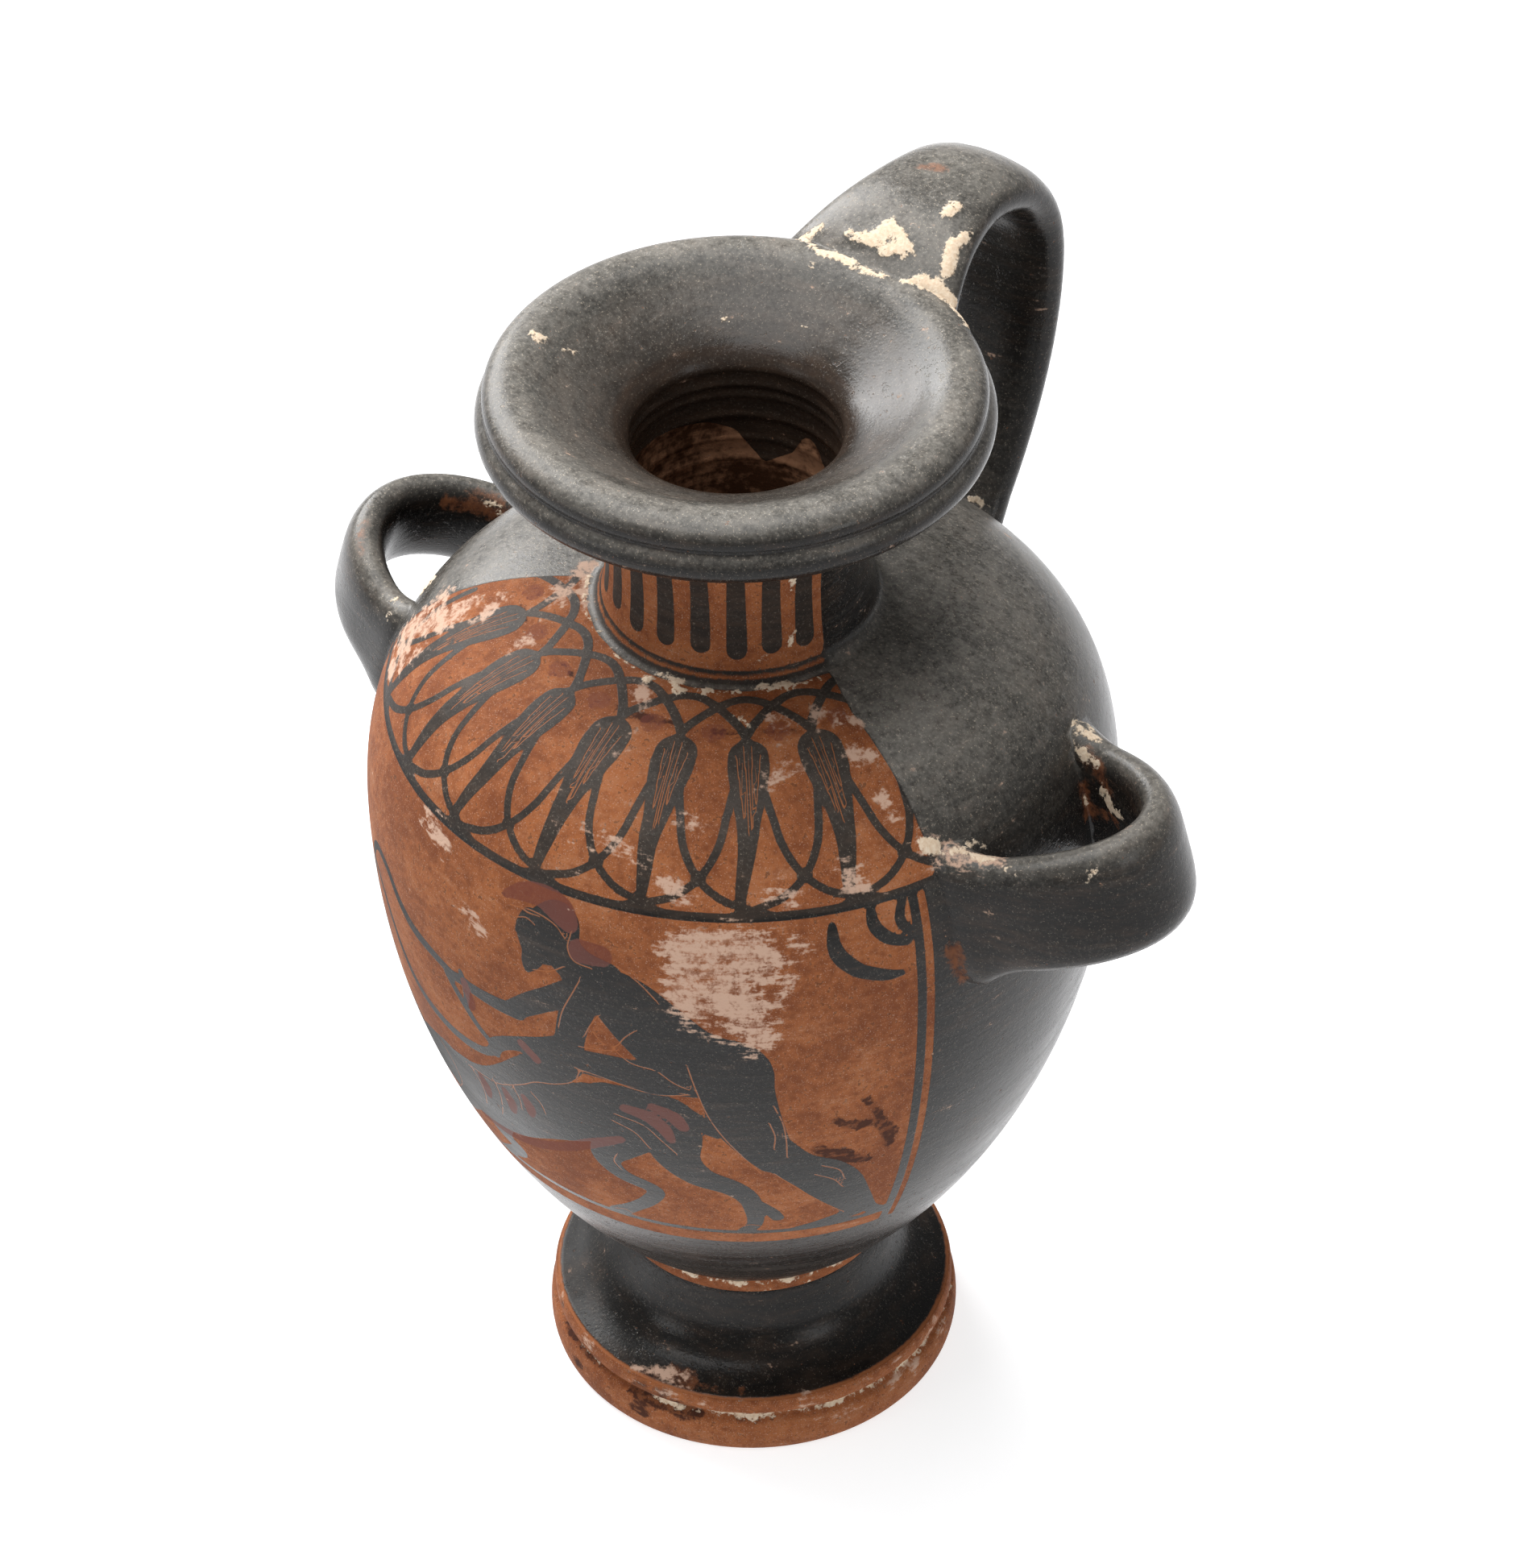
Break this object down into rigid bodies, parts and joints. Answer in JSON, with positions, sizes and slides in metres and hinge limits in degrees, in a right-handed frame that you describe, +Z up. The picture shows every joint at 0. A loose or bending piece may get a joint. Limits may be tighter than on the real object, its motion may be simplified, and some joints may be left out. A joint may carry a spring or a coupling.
{
  "type": "black-figure hydria",
  "caption": "Small fired-clay water jar with a footed ovoid body, narrow neck, dished mouth, carrying handles at the sides and an upright pouring handle at the back.",
  "frame": {"origin": "centre of the flat underside of the foot, on the axis the vessel was turned about", "axes": "+Z up the turning axis, -Y towards the painted picture panel, +Y towards the upright handle, +X and -X towards the carrying handles"},
  "size_m": [0.2048, 0.1751, 0.264],
  "materials": {
    "fired_clay": "satin black slip with a reserved orange-brown clay picture panel, worn and chipped, with pale encrustation"
  },
  "bodies": {
    "root": {"hydria": "fired_clay"}
  },
  "joints": []
}
